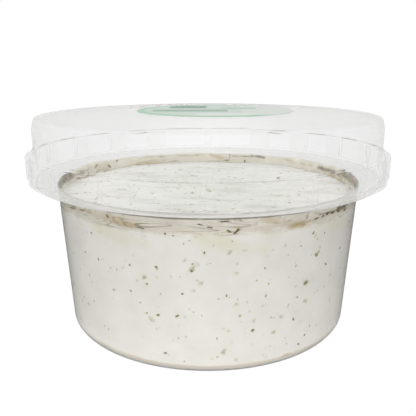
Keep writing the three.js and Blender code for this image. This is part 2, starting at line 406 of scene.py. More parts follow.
def dip_outline():
    """Radius and height of the dip's outline: out over the floor, up the wall and in again over
    the top, in rows close enough together to carry the painted patches."""
    bottom = FLOOR_TOP - INTO_WALL
    side = rounded([
        (0, bottom),
        (inner_radius(bottom) + INTO_WALL, bottom, 0.7),
        (inner_radius(FILL_HEIGHT) + INTO_WALL, FILL_HEIGHT, DIP_EDGE),
        (0, FILL_HEIGHT),
    ])
    corner_rows = side[2:-2]
    split = int(np.argmax(np.diff(corner_rows[:, 1])))
    floor_rows = np.linspace(0, corner_rows[0, 0], BOTTOM_RINGS + 1)[:-1]
    share = np.linspace(0, 1, SIDE_ROWS + 2)[1:-1, None]
    wall_rows = corner_rows[split] * (1 - share) + corner_rows[split + 1] * share
    top_rows = np.linspace(corner_rows[-1, 0], 0, TOP_RINGS + 1)[1:]
    return np.vstack([
        np.stack([floor_rows, np.full(BOTTOM_RINGS, bottom)], axis=-1),
        corner_rows[:split + 1],
        wall_rows,
        corner_rows[split + 1:],
        np.stack([top_rows, np.full(TOP_RINGS, FILL_HEIGHT)], axis=-1),
    ])


def round_wave(angle, terms):
    """A wave that closes on itself round the tub: the sum of size * cos(count * angle + phase)."""
    return sum(size * np.cos(count * angle + phase) for count, size, phase in terms)


def creep(points):
    """How much higher or lower the dip stands at the wall than its level: a wave round the tub,
    which fades out 3 mm down the wall and 3 mm in from it."""
    wave = round_wave(np.arctan2(points[:, 0], -points[:, 1]), CREEP_WAVES)
    below = np.clip((points[:, 2] - FILL_HEIGHT) / CREEP_REACH + 1, 0, 1)
    inside = np.clip((from_axis(points) - inner_radius(FILL_HEIGHT)) / CREEP_REACH + 1, 0, 1)
    return wave * (below * inside) ** 2


outline = dip_outline()
dip_points = turned_points(outline[:, :1], outline[:, 1:], even_angles(DIP_COLUMNS))
on_top = dip_points[:, 2] > FILL_HEIGHT - 1e-6
dip_points[:, 2] += creep(dip_points)
dip_points[on_top, 2] += relief(dip_points[on_top, 0], dip_points[on_top, 1])
lowest, highest = dip_points[on_top, 2].min(), dip_points[:, 2].max()
print(f"the dip's top lies between {lowest:.2f} and {highest:.2f} mm")

# %% [markdown]
# ## Stains on the dip
# Where the filled tub was shaken, oil and whey have run between dip and wall: tan streaks just
# under the lid, pale yellow-green patches below them, and blurred herbs a little under the
# surface. Such soft marks are painted as numbers on the mesh's points, and the material breaks
# them up with noise later. A stroke is a straight soft line on the unrolled wall.

# %% Painted strokes
OIL_STROKES = (                   # angle and height of both ends, width and strength
    (-34, 37.8, -22, 36.6, 0.8, 0.7),
    (-30, 36.8, -16, 35.4, 1.1, 0.5),
    (-56, 36.8, -41, 37.8, 0.8, 0.7),
    (-42, 37.2, -24, 35.9, 0.6, 0.7),
    (-12, 36.6, 1, 34.6, 0.5, 0.5),
    (1, 37.8, 10, 36.6, 0.7, 0.6),
    (17, 38.2, 31, 35.6, 1.2, 0.8),
    (26, 35.0, 40, 36.8, 1.0, 0.6),
    (44, 37.0, 58, 36.2, 0.7, 0.6),
    # the last three draw a tan line along the dip's bottom corner, just above the foot
    (-52, 1.9, -18, 1.5, 0.45, 0.8),
    (-16, 1.6, 30, 1.7, 0.35, 0.6),
    (28, 1.6, 58, 2.0, 0.5, 0.8),
)
WHEY_STROKES = (
    (-62, 35.5, -38, 34.2, 2.8, 0.6),
    (-43, 33.9, -20, 32.0, 2.4, 0.6),
    (-14, 33.5, 4, 35.4, 1.8, 0.4),
    (-3, 34.0, 16, 31.2, 2.6, 0.7),
    (14, 35.2, 36, 33.6, 2.4, 0.5),
    (42, 35.5, 62, 30.5, 3.0, 0.6),
    (-8, 20.5, 3, 21.5, 1.4, 0.3),
    (-20, 14.5, -12, 11.0, 1.5, 0.4),
    (8, 17.0, 13, 14.0, 1.2, 0.35),
)
WEB_STROKES = (                   # where a web of hairlines of oil shows
    (-60, 37.4, -20, 36.2, 1.9, 0.8),
    (-44, 35.4, -18, 33.6, 1.0, 0.25),
    (-20, 36.6, 8, 36.0, 2.0, 0.8),
    (8, 37.4, 34, 36.8, 1.4, 0.6),
    (34, 37.2, 62, 37.0, 1.4, 0.7),
)
# A greyer band goes all round, just above the dip's level.
VEIL_STROKES = ((-180, 37.7, 180, 37.7, 1.9, 1.0),)
BACK_STROKES = 16                 # of each kind, made by rule on the half that the picture hides
BACK_START = 70                   # degrees from the front, and so round the back to
BACK_END = 275
BACK_LONGEST = 20                 # degrees
WALL_REACH = 42.0                 # radius on which strokes are measured
PAINT_GONE = 0.8                  # paint is gone this far in from the wall, and full 0.2 mm from it
PAINT_FADE = 0.6


def unrolled(points):
    """Angle from the front in degrees and height, for points anywhere on the wall."""
    return np.degrees(np.arctan2(points[:, 0], -points[:, 1])), points[:, 2]


def painted(points, strokes):
    """At each point the sum of strength * exp(-(d / width)^2) over all strokes, where d is the
    distance to the stroke on the unrolled wall. It fades out within a millimetre of the wall."""
    angle, height = unrolled(points)
    spot = np.stack([np.radians(angle) * WALL_REACH, height], axis=-1)
    outward = from_axis(points) - inner_radius(height)
    wall_share = np.clip((outward + PAINT_GONE) / PAINT_FADE, 0, 1)
    total_paint = np.zeros(len(points))
    for a0, z0, a1, z1, width, weight in strokes:
        start = np.array([math.radians(a0) * WALL_REACH, z0])
        line = np.array([math.radians(a1) * WALL_REACH, z1]) - start
        share = np.clip((spot - start) @ line / (line @ line), 0, 1)
        gap = np.linalg.norm(spot - start - share[:, None] * line, axis=1)
        total_paint += weight * np.exp(-(gap / width) ** 2)
    return total_paint * wall_share


def back_strokes(random, low, high, width, weight):
    """Strokes of the same kind round the back, up to 20 degrees long, gently rising or falling.
    None crosses the seam at 180 degrees, where the unrolled wall ends."""
    start = random.uniform(BACK_START, BACK_END, BACK_STROKES)
    start = np.where(start > 180, start - 360, start)
    length = random.uniform(8, BACK_LONGEST, BACK_STROKES)
    length = np.minimum(length, np.where(start > 0, 179 - start, BACK_LONGEST))
    height = random.uniform(low, high, BACK_STROKES)
    fall = random.uniform(-1.5, 1.5, BACK_STROKES)
    widths = width * random.uniform(0.7, 1.3, BACK_STROKES)
    weights = weight * random.uniform(0.5, 1.2, BACK_STROKES)
    return list(zip(start, height, start + length, height + fall, widths, weights))


random = np.random.default_rng(11)
oil_strokes = [*OIL_STROKES, *back_strokes(random, 35.5, 38.2, 0.9, 0.8)]
whey_strokes = [*WHEY_STROKES, *back_strokes(random, 30.5, 35.5, 1.7, 0.6)]
web_strokes = [*WEB_STROKES, *back_strokes(random, 35.5, 37.0, 1.3, 0.9)]
print(f"{len(oil_strokes)} oil strokes and {len(whey_strokes)} whey strokes")

# %% [markdown]
# ## Herbs
# The dip is full of chopped dried dill and parsley: flat olive flecks between 0.3 and 1 mm, some
# pressed against the plastic, some just under the surface, where they look blurred. The ones
# that stand out were read off the picture and are put where the camera's ray through that
# pixel meets the wall. All others are strewn at random, with a fixed seed.

# %% Where a pixel's ray meets the wall
SHARP_FLECKS = np.array([         # pixel across, pixel down, length in pixels
    (92, 232, 4), (86, 251, 4), (99, 258, 4), (165, 233, 4), (123, 267, 2), (111, 267, 2),
    (130, 264, 3), (191, 270, 4), (192, 263, 3), (156, 266, 3), (147, 283, 3), (131, 290, 4),
    (114, 289, 3), (182, 293, 4), (85, 296, 3), (95, 300, 3), (158, 314, 4), (177, 315, 5),
    (147, 312, 3), (165, 352, 5), (90, 274, 3), (81, 268, 2), (68, 235, 3), (75, 252, 3),
    (204, 252, 4), (105, 325, 2), (338, 247, 4), (315, 254, 6), (317, 251, 3), (312, 232, 4),
    (323, 232, 3), (316, 238, 2), (300, 245, 3), (347, 221, 4), (346, 241, 3), (324, 263, 4),
    (338, 267, 3), (328, 274, 3), (304, 282, 6), (296, 296, 3), (328, 299, 3), (264, 267, 3),
    (226, 295, 4), (218, 298, 2), (265, 295, 3), (252, 329, 5), (303, 334, 3), (297, 343, 4),
    (292, 318, 5), (284, 337, 2), (228, 231, 4), (234, 232, 4), (237, 229, 5), (108, 216, 4),
])
SOFT_FLECKS = np.array([          # pixel across, pixel down, width in pixels
    (134, 255, 6), (153, 320, 9), (149, 303, 4), (160, 327, 5), (235, 273, 9), (236, 303, 8),
    (266, 255, 5), (253, 320, 8), (240, 321, 5), (262, 305, 5), (222, 351, 5), (216, 314, 4),
    (186, 336, 5), (114, 329, 4), (133, 280, 4), (313, 291, 5), (320, 268, 4), (306, 329, 6),
    (306, 281, 9), (191, 268, 9), (281, 289, 5), (157, 268, 6), (171, 276, 5), (150, 317, 7),
    (322, 295, 4), (104, 258, 5), (200, 282, 9), (228, 252, 5),
])
DARK_STRANDS = np.array([         # thin bits and gaps in the smears: from and to, in pixels
    (312, 219, 318, 216.5), (320, 216, 323, 214.5), (324, 213.5, 327, 212.5), (329, 212.5, 333, 211),
    (335, 210.5, 338, 210), (341, 209.5, 344, 208), (218, 221.5, 229, 220), (226, 229, 231, 231.5),
    (234, 232, 240, 227.5), (205, 226, 214, 227), (196, 223, 203, 224.5), (70, 206, 76, 208),
    (80, 208.5, 86, 210), (136, 226, 146, 228), (106, 213, 110, 218),
])
STRAND_WIDTHS = np.array([0.4, 0.5, 0.8, 0.5, 0.4, 0.7] + [0.28] * 9)   # in millimetres


def on_wall(across, down):
    """Point of the wall that a pixel shows. The ray from the camera is o + t d, and the wall is
    the cone r = a + b z, so t is the smaller root of |o + t d|^2 across the axis = r^2."""
    right = (across - PICTURE_MIDDLE) / FOCAL_PIXELS
    low = (down - PICTURE_MIDDLE) / FOCAL_PIXELS
    cosine, sine = math.cos(CAMERA_TILT), math.sin(CAMERA_TILT)
    ray = np.stack([right, cosine - low * sine, -sine - low * cosine], axis=-1)
    eye = np.array([0, -CAMERA_DISTANCE, CAMERA_HEIGHT])
    slope = inner_radius(1.0) - inner_radius(0.0)
    start = inner_radius(CAMERA_HEIGHT)
    a = ray[:, 0] ** 2 + ray[:, 1] ** 2 - (slope * ray[:, 2]) ** 2
    b = 2 * (ray[:, 1] * eye[1] - start * slope * ray[:, 2])
    c = eye[1] ** 2 - start ** 2
    step = (-b - np.sqrt(b * b - 4 * a * c)) / (2 * a)
    return eye + step[:, None] * ray


PIXEL = 0.21                      # millimetres that a pixel covers on the front of the wall
sharp_spots = on_wall(SHARP_FLECKS[:, 0], SHARP_FLECKS[:, 1])
soft_spots = on_wall(SOFT_FLECKS[:, 0], SOFT_FLECKS[:, 1])
print(f"{len(sharp_spots)} sharp and {len(soft_spots)} soft flecks are placed by eye")

# %% Herbs under the surface, as soft spots on the dip's points
SUNK_COUNT = 650                  # on the wall, and as many on top
SUNK_WIDTH = 0.42
SHY_OF_EDGE = 0.8                 # random flecks keep this far from the dip's upper edge
RIM_REACH = 8                     # how far in from the wall the dip's top is painted greyer: painted shade


def soft_marks(points, centres, widths, weights):
    """At each point the sum of weight * exp(-(d / width)^2) over all centres. Only the points
    near a centre are worked out, which keeps it quick."""
    total_paint = np.zeros(len(points))
    for centre, width, weight in zip(centres, widths, weights):
        near = np.abs(points - centre).max(1) < 3 * width
        gap = np.linalg.norm(points[near] - centre, axis=1)
        total_paint[near] += weight * np.exp(-(gap / width) ** 2)
    return total_paint


def strewn(random, count):
    """Random places on the wall: angle even all round, height even between floor and fill."""
    angle = random.uniform(-np.pi, np.pi, count)
    height = random.uniform(2.5, FILL_HEIGHT - SHY_OF_EDGE, count)
    return around_axis(inner_radius(height), height, angle)


def strewn_on_top(random, count):
    """Random places on the dip's top, even over its area."""
    angle = random.uniform(-np.pi, np.pi, count)
    widest = inner_radius(FILL_HEIGHT) - SHY_OF_EDGE
    places = around_axis(widest * np.sqrt(random.uniform(0, 1, count)), FILL_HEIGHT, angle)
    places[:, 2] += relief(places[:, 0], places[:, 1])
    return places


random = np.random.default_rng(5)
sunk_centres = np.vstack([
    soft_spots,
    sharp_spots,
    strewn(random, SUNK_COUNT),
    strewn_on_top(random, SUNK_COUNT),
])
sunk_widths = np.concatenate([
    SOFT_FLECKS[:, 2] * PIXEL * 0.45,
    SHARP_FLECKS[:, 2] * PIXEL * 0.75,
    SUNK_WIDTH * random.uniform(0.7, 1.9, 2 * SUNK_COUNT),
])
sunk_weights = np.concatenate([
    np.full(len(soft_spots), 0.8),
    np.full(len(sharp_spots), 0.6),
    random.uniform(0.2, 0.9, 2 * SUNK_COUNT),
])
inward = inner_radius(FILL_HEIGHT) - from_axis(dip_points)
dip_body = put_mesh("dip_body", dip_points, turned_faces(len(outline) - 2, DIP_COLUMNS), {
    "oil": painted(dip_points, oil_strokes),
    "whey": painted(dip_points, whey_strokes),
    "sunk": soft_marks(dip_points, sunk_centres, sunk_widths, sunk_weights),
    # painted shade on the top near the wall
    "rim": np.clip(1 - inward / RIM_REACH, 0, 1) ** 2 * on_top,
    "web": painted(dip_points, web_strokes),
    "upper": on_top,
    "veil": painted(dip_points, VEIL_STROKES),
})

# %% [markdown]
# ## Flecks as chips
# Each sharp fleck is a small flat chip with six uneven corners and a low crown, 24 triangles in
# all. It lies flat on the dip and stands a few hundredths of a millimetre into the plastic. All
# chips are worked out at once as one array and form one mesh.

# %% Chips of herb
CHIP_SINK = 0.15                  # how deep a chip's back lies in the dip
CHIP_RISE = 0.05                  # how far its tip stands out of the dip
FACE_RISE = 0.6                   # how far the face's corners do, as a share of the tip's rise


def chips(random, centres, outward, along, lengths, widths):
    """Points and faces of flat chips. Corner k of a chip lies at angle k * 60 degrees on an
    ellipse of the chip's length and width, pushed in or out at random. A chip's 14 points are the
    corners of its back, the corners of its face, the tip in front and the heel behind."""
    count = len(centres)
    aside = np.cross(outward, along)
    corner = np.arange(6) * np.pi / 3
    wobble = random.uniform(0.65, 1.2, (count, 6))
    u = wobble * np.cos(corner) * lengths[:, None] / 2
    v = wobble * np.sin(corner) * widths[:, None] / 2
    flat = centres[:, None] + u[..., None] * along[:, None] + v[..., None] * aside[:, None]
    lift = outward[:, None]
    back = flat - lift * CHIP_SINK
    face = flat + lift * CHIP_RISE * FACE_RISE
    tip = centres[:, None] + lift * CHIP_RISE
    heel = centres[:, None] - lift * CHIP_SINK
    points = np.concatenate([back, face, tip, heel], axis=1)
    k = np.arange(6)
    after = (k + 1) % 6
    none = np.full(6, -1)
    sides = np.stack([k, after, after + 6, k + 6], axis=-1)
    crown = np.stack([k + 6, after + 6, np.full(6, 12), none], axis=-1)
    under = np.stack([after, k, np.full(6, 13), none], axis=-1)
    pattern = np.vstack([sides, crown, under])
    shift = 14 * np.arange(count)[:, None, None]
    faces = np.where(pattern >= 0, pattern + shift, -1)
    return points.reshape(-1, 3), faces.reshape(-1, 4)


def wall_frame(centres):
    """Outward and level directions of the wall at the given points."""
    flat = centres * np.array([1, 1, 0])
    outward = flat / np.linalg.norm(flat, axis=1)[:, None]
    return outward, np.cross([0, 0, 1.0], outward)


def turned_by(first, second, angle):
    """Direction at an angle from the first towards the second."""
    return first * np.cos(angle)[:, None] + second * np.sin(angle)[:, None]


print("a chip's back lies", CHIP_SINK, "mm deep and its tip stands out by", CHIP_RISE, "mm")

# %% Four groups of chips
UPWARD = np.array([[0, 0, 1.0]])
WALL_CHIPS = 560
TOP_CHIPS = 420
FRONT_SHARE = 0.55                # of the random chips in front, where others are listed
FRONT_ANGLE = 50
STRAND_LIFT = 0.04                # strands lie this far outside the film
TONE_SPREAD = 0.4
LIGHTEST = (0.45, 0.1, 1.0, 0.9)  # lightest tone of each group: the listed ones are darker

random = np.random.default_rng(23)
outward, level = wall_frame(sharp_spots)
lengths = SHARP_FLECKS[:, 2] * PIXEL
along = turned_by(level, UPWARD, random.uniform(-1.4, 1.4, len(lengths)))
widths = lengths * random.uniform(0.45, 0.8, len(lengths))
groups = [(sharp_spots + outward * FILM_INTO_WALL, outward, along, lengths, widths)]

starts = on_wall(DARK_STRANDS[:, 0], DARK_STRANDS[:, 1])
ends = on_wall(DARK_STRANDS[:, 2], DARK_STRANDS[:, 3])
middles = (starts + ends) / 2
outward = wall_frame(middles)[0]
to_film = inner_radius(middles[:, 2]) - from_axis(middles) + FILM_INTO_WALL + STRAND_LIFT
lengths = np.linalg.norm(ends - starts, axis=1)
along = (ends - starts) / lengths[:, None]
groups.append((middles + outward * to_film[:, None], outward, along, lengths, STRAND_WIDTHS))

near = strewn(random, WALL_CHIPS)
at_front = np.abs(unrolled(near)[0]) < FRONT_ANGLE
near = near[~at_front | (random.uniform(0, 1, WALL_CHIPS) < FRONT_SHARE)]
outward, level = wall_frame(near)
lengths = 0.25 + 0.5 * random.uniform(0, 1, len(near)) ** 3
along = turned_by(level, UPWARD, random.uniform(-1.5, 1.5, len(near)))
widths = lengths * random.uniform(0.4, 0.9, len(near))
groups.append((near + outward * INTO_WALL, outward, along, lengths, widths))

near = strewn_on_top(random, TOP_CHIPS)
turn = random.uniform(-np.pi, np.pi, TOP_CHIPS)
along = np.stack([np.cos(turn), np.sin(turn), 0 * turn], axis=-1)
lengths = 0.35 + 0.9 * random.uniform(0, 1, TOP_CHIPS) ** 2
widths = lengths * random.uniform(0.35, 0.8, TOP_CHIPS)
groups.append((near, UPWARD, along, lengths, widths))

# %% One mesh of all chips
chip_points, chip_faces, chip_tones = [], [], []
for group, lightest in zip(groups, LIGHTEST):
    points, faces = chips(random, *group)
    offset = sum(len(made) for made in chip_points)
    chip_points.append(points)
    chip_faces.append(np.where(faces >= 0, faces + offset, -1))
    tones = random.uniform(lightest - TONE_SPREAD, lightest, len(group[0]))
    chip_tones.append(np.repeat(tones, len(points) // len(tones)))
herb_flecks = put_mesh("herb_flecks", np.vstack(chip_points), np.vstack(chip_faces),
                       {"tone": np.concatenate(chip_tones)})

# %% [markdown]
# ## Smears above the dip
# The tub was filled nearly to its mouth and the dip has settled, so a thin film is left on the
# wall between the dip and the flange, thicker in some places and scraped off in others. The
# film is a closed band: its outside reaches a little into the plastic, and its inside follows
# at a distance that changes round the tub.

# %% Film on the wall
FILM_COLUMNS = 720
FILM_ROWS = 30
FILM_FOOT = 34.4
FILM_TOP = 39.85
FILM_TOP_WAVES = ((3, 0.10, 0.4), (7, 0.08, 2.0), (13, 0.07, 1.1), (29, 0.06, 0.3), (53, 0.04, 2.6))
FILM_WAVES = ((5, 0.5, 1.0), (11, 0.4, 0.2), (23, 0.3, 2.2), (41, 0.3, 0.9))   # of its thickness
FILM_FADE = 2.6                   # height over which it thins out below
FILM_THICK = 0.28
FILM_THIN = 0.08
BEND_CENTRE = 38.85               # height at which the mouth's inside rounding starts
PATINA_END = 125                  # degrees from the front, past which the film's stains are cut back: painted light on the back's inside face
PATINA_FADE = 25
PATINA_BACK_LIGHTENING = 0.65
FILM_GRIME_AND_SHADE = (                    # darker places, written as the oil strokes are: grey-brown residue, and at both ends under the flange painted shade as well
    (-112, 38.4, -98, 38.2, 0.9, 0.6),
    (-96, 38.9, -70, 38.6, 1.5, 1.0),
    (-70, 38.0, -50, 37.5, 0.8, 0.8),
    (-119, 39.2, -117, 38.6, 0.5, 0.7),
    (-127, 37.7, -126, 38.3, 0.5, 1.1),
    (-132, 39.5, -131, 39.1, 0.4, 0.9),
    (-152, 39.5, -144, 39.0, 0.6, 0.4),
    (169, 39.5, 169, 38.1, 0.4, 0.7),
    (161, 37.5, 161, 36.8, 0.4, 1.0),
    (158, 39.5, 151, 39.0, 0.7, 0.8),
    (141, 39.2, 127, 38.4, 0.5, 0.5),
    (119, 38.4, 102, 38.2, 0.9, 0.8),
    (100, 38.8, 70, 38.6, 1.5, 1.0),
    (70, 38.0, 48, 37.5, 0.8, 0.9),
    (3, 38.2, 7, 37.9, 0.3, 0.7),
    (38, 37.2, 54, 36.9, 0.35, 0.9),
)
CORNER_SHADOW_STROKES = (                # painted shadow: a thin dark line in the corner where the wall meets the flange
    (-58, 38.7, 58, 38.7, 0.28, 1.0),
    (-175, 39.0, -150, 39.1, 0.4, 0.4),
    (150, 39.1, 168, 38.9, 0.3, 0.6),
)
LIP_STROKES = (                   # a thin dark line on the film's upper edge, at the near side and both ends
    (-100, 39.75, 100, 39.75, 0.3, 1.0),
)

film_angles = even_angles(FILM_COLUMNS)
share = np.linspace(0, 1, FILM_ROWS)[:, None]
film_top = FILM_TOP + round_wave(film_angles, FILM_TOP_WAVES)
film_height = FILM_FOOT + (film_top - FILM_FOOT) * share
wave = np.clip(round_wave(film_angles, FILM_WAVES) + np.sin(5 * share), -1, 1)
thickness = FILM_THIN + (FILM_THICK - FILM_THIN) * (0.5 + 0.4 * wave)
thickness *= np.clip(4 * (1 - share), 0.15, 1)
rise = np.clip(film_height - BEND_CENTRE, 0, MOUTH_ROUNDING)
film_outside = inner_radius(np.minimum(film_height, BEND_CENTRE))
film_outside += MOUTH_ROUNDING - np.sqrt(MOUTH_ROUNDING ** 2 - rise ** 2)
film_points = np.concatenate([
    around_axis(film_outside + FILM_INTO_WALL, film_height, film_angles),
    around_axis(film_outside - thickness, film_height, film_angles)[::-1],
]).reshape(-1, 3)
row = np.arange(2 * FILM_ROWS)[:, None] * FILM_COLUMNS
film_faces = between_rows(row, np.roll(row, -1), FILM_COLUMNS)
film_cover = np.clip((film_points[:, 2] - FILM_FOOT) / FILM_FADE, 0, 1)
# round the back the stains are cut back, which stands in for the light on the inside face seen there:
# painted light
past_end = (np.abs(unrolled(film_points)[0]) - PATINA_END) / PATINA_FADE
dip_smears = put_mesh("dip_smears", film_points, film_faces, {
    "oil": painted(film_points, oil_strokes),
    "grime_and_shade": painted(film_points, FILM_GRIME_AND_SHADE),
    "web": painted(film_points, web_strokes),
    # painted shadow in the corner under the flange
    "corner": painted(film_points, CORNER_SHADOW_STROKES),
    "cover": film_cover,
    "lip": painted(film_points, LIP_STROKES),
    "patina_and_back_light": film_cover * (1 - PATINA_BACK_LIGHTENING * np.clip(past_end, 0, 1)),
})

# %% [markdown]
# ## The lid
# The lid is pressed over the flange. From the bottom up it has a skirt with grip ribs, a
# shoulder, a tall upright wall and a nearly flat top with a raised middle. The ribs stand out by
# about a millimetre and are hollow behind, so the same lift is added to the outside and to the
# inside, a little narrower there. The points all round are not even: they crowd at the sides of
# each rib, where the surface turns sharply.

# %% Rib pattern round the skirt
RIB_PITCH = 18                    # degrees
RIB_START = 0.7
RIB_WIDTH = 8.6
NARROW_RIB_WIDTH = 3
RIBS_PER_QUARTER = 4
RIB_LIFT = 0.95
RIB_SLOPE = 0.22                  # degrees each side of a rib's edge over which it rises
LID_WALL = 0.5
SKIRT_RADIUS = 49.4
RIB_EDGE_COLUMNS = (-1.6, -1, -0.5, 0, 0.5, 1, 1.6)   # columns at an edge, counted in slopes
COLUMN_STEP = 2                   # degrees between columns on the plain stretches
COLUMN_GAP = 0.3                  # from a plain column to the nearest one at a rib
LEAST_GAP = 0.04                  # columns closer than this are one

first_edges = RIB_PITCH * np.arange(1, RIBS_PER_QUARTER + 1) + RIB_START
wide_edges = np.concatenate([first_edges, first_edges + RIB_WIDTH])
quarter = np.concatenate([wide_edges, [NARROW_RIB_WIDTH / 2]])
rib_edges = np.concatenate([quarter, 180 - quarter, -quarter, quarter - 180])
inset = math.degrees(LID_WALL / SKIRT_RADIUS)


def rib_lift(degrees, narrower):
    """1 on a rib and 0 between ribs, with a smooth slope at each side. The angle is folded into
    one quarter, as the ribs mirror left to right and front to back."""
    folded = np.abs((degrees + 180) % 360 - 180)
    folded = np.minimum(folded, 180 - folded)
    from_rib = (folded - RIB_START - RIB_WIDTH / 2) % RIB_PITCH
    from_rib = np.minimum(from_rib, RIB_PITCH - from_rib)
    wide = RIB_WIDTH / 2 - narrower - from_rib
    narrow = NARROW_RIB_WIDTH / 2 - narrower - np.minimum(folded, 90 - folded)
    near_quarter = (folded < RIB_PITCH / 2) | (folded > 90 - RIB_PITCH / 3)
    edge = np.where(near_quarter, narrow, wide)
    share = np.clip(0.5 + edge / (2 * RIB_SLOPE), 0, 1)
    return share * share * (3 - 2 * share)


plain = np.arange(-180, 180, COLUMN_STEP)
inner_sides = np.concatenate([rib_edges - inset, rib_edges + inset])
crowded = np.concatenate([
    *[rib_edges + RIB_SLOPE * offset for offset in RIB_EDGE_COLUMNS],
    *[inner_sides + RIB_SLOPE * offset for offset in (-1, 0, 1)],
])
crowded = (crowded + 180) % 360 - 180
clear = np.abs(plain[:, None] - crowded).min(1) > COLUMN_GAP
lid_degrees = np.unique(np.concatenate([plain[clear], crowded]).round(3))
lid_degrees = lid_degrees[np.concatenate([[True], np.diff(lid_degrees) > LEAST_GAP])]
print(f"{len(rib_edges)} rib edges and {len(lid_degrees)} columns round the lid")

# %% Lid outline and mesh
SKIRT_LIFT = 0.1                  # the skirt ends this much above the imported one
SKIRT_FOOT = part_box("lid")[0].z / MM + SKIRT_LIFT
PANEL_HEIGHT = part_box("lid")[1].z / MM
SHOULDER_HEIGHT = 48.75
CAP_RADIUS = 48.15
CAP_WALL_TOP = 54.9
CAP_EDGE_RADIUS = 47.5
CAP_EDGE_HEIGHT = 57.75
PANEL_RADIUS = 27
LEDGE_RADIUS = 47.5
LEDGE_BOTTOM = FLANGE_TOP + 0.02  # just clear of the flange, so no two faces share a place
LEDGE_TOP = 42.0
RIB_BOTTOM = 41.35
RIB_TOP = 48.25
RIB_ROUNDING = 0.6                # at a rib's lower and upper end
HOLLOW_TOP = 47.75                # behind the ribs, and the height over which the hollow ends
HOLLOW_FADE = 0.3

skirt_inside = SKIRT_RADIUS - LID_WALL
inner_outline = rounded([
    (0, PANEL_HEIGHT - LID_WALL),
    (PANEL_RADIUS, PANEL_HEIGHT - LID_WALL, 1.5),
    (CAP_EDGE_RADIUS - LID_WALL, CAP_EDGE_HEIGHT - LID_WALL, 0.3),
    (CAP_RADIUS - LID_WALL, CAP_WALL_TOP, 1.0),
    (CAP_RADIUS - LID_WALL, SHOULDER_HEIGHT - LID_WALL, 0.25),
    (skirt_inside, SHOULDER_HEIGHT - LID_WALL, 0.2),
    (skirt_inside, LEDGE_TOP, 0.15),
    (LEDGE_RADIUS, LEDGE_TOP, 0.15),
    (LEDGE_RADIUS, LEDGE_BOTTOM, 0.15),
    (skirt_inside, LEDGE_BOTTOM, 0.05),
    (skirt_inside, SKIRT_FOOT, 0.05),
    (SKIRT_RADIUS, SKIRT_FOOT, 0.15),
    (SKIRT_RADIUS, RIB_BOTTOM),
])
outer_outline = rounded([
    (SKIRT_RADIUS, RIB_TOP),
    (SKIRT_RADIUS, SHOULDER_HEIGHT, 0.7),
    (CAP_RADIUS, SHOULDER_HEIGHT, 0.25),
    (CAP_RADIUS, CAP_WALL_TOP, 1.0),
    (CAP_EDGE_RADIUS, CAP_EDGE_HEIGHT, 0.7),
    (PANEL_RADIUS, PANEL_HEIGHT, 1.5),
    (0, PANEL_HEIGHT),
])
turn = np.linspace(0, np.pi / 2, 7)
rib_foot = RIB_BOTTOM + RIB_ROUNDING * (1 - np.cos(turn))
rib_heights = np.concatenate([rib_foot, (RIB_BOTTOM + RIB_TOP) - rib_foot[::-1]])
rib_share = np.concatenate([np.sin(turn), np.sin(turn[::-1])])
hollow_share = np.clip((HOLLOW_TOP - inner_outline[:, 1]) / HOLLOW_FADE, 0, 1)
hollow_share *= inner_outline[:, 1] > LEDGE_TOP + 0.1
hollow_share *= inner_outline[:, 0] > skirt_inside - 0.01
lid_outline = np.vstack([
    inner_outline[:-1],
    np.stack([np.full(len(rib_heights), SKIRT_RADIUS), rib_heights], axis=-1),
    outer_outline[1:],
])
outside_share, inside_share = np.zeros((2, len(lid_outline), 1))
turn_outside = len(inner_outline) - 1
inside_share[:turn_outside, 0] = hollow_share[:-1]
outside_share[turn_outside:turn_outside + len(rib_share), 0] = rib_share
lid_radius = (lid_outline[:, :1]
              + RIB_LIFT * outside_share * rib_lift(lid_degrees, 0)
              + RIB_LIFT * inside_share * rib_lift(lid_degrees, inset))
lid_points = turned_points(lid_radius, lid_outline[:, 1:], np.radians(lid_degrees))
on_rib = np.maximum(outside_share, inside_share) * rib_lift(lid_degrees, 0)
lid_faces = turned_faces(len(lid_outline) - 2, len(lid_degrees))
lid_shell = put_mesh("lid_shell", lid_points, lid_faces, {
    "rib": np.concatenate([[0], on_rib[1:-1].ravel(), [0]]),
})
print(f"the lid's outline has {len(lid_outline)} points")

# %% [markdown]
# ## The label
# A round paper label lies on the raised middle of the lid, a little off the middle. It is only as
# thick as coated paper with its glue, and its cut edge is slightly soft.

# %% Label mesh
LABEL_RADIUS = 22
LABEL_OFFSET = 2
LABEL_LIFT = 0.006                # clears the plastic, so no two faces share a place
LABEL_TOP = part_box("label")[1].z / MM

label_outline = rounded([
    (0, PANEL_HEIGHT + LABEL_LIFT),
    (LABEL_RADIUS, PANEL_HEIGHT + LABEL_LIFT, 0.02),
    (LABEL_RADIUS, LABEL_TOP, 0.05),
    (0, LABEL_TOP),
], steps=3)
label_points = turned_points(label_outline[:, :1], label_outline[:, 1:], tub_angles)
label_points[:, 0] += LABEL_OFFSET
label_disc = put_mesh("label_disc", label_points, turned_faces(len(label_outline) - 2, TUB_COLUMNS))
print(f"the label is {LABEL_TOP - PANEL_HEIGHT:.2f} mm thick")

# %% [markdown]
# ## Clear polypropylene
# Polypropylene is clear only when it is thin, and a little milky: its refractive index is about
# 1.49, and injection moulding leaves it glossy with a faint haze. Where dip is pressed against
# the wall, the bending carries the dip's colour out to the very edge. Where there is air on both
# sides, as in the lid and the tub's mouth, the two faces undo each other's bending, and the
# haze matters more, so there the bending is set low and the milky share high. Lamps should
# shine through onto the dip, so shadow rays and the soft light that surfaces send each other
# pass straight through, and only what the eye sees is bent and mirrored.

# %% Clear plastic material
CLEAR = "FDFDFD"
MILK = "FBFBFA"
RIB_MILK = 0.07                   # how much milkier the lid's ribs are, which cool last in the mould
MOUTH_START = 39.35               # faces whose middle lies higher belong to the mouth and flange


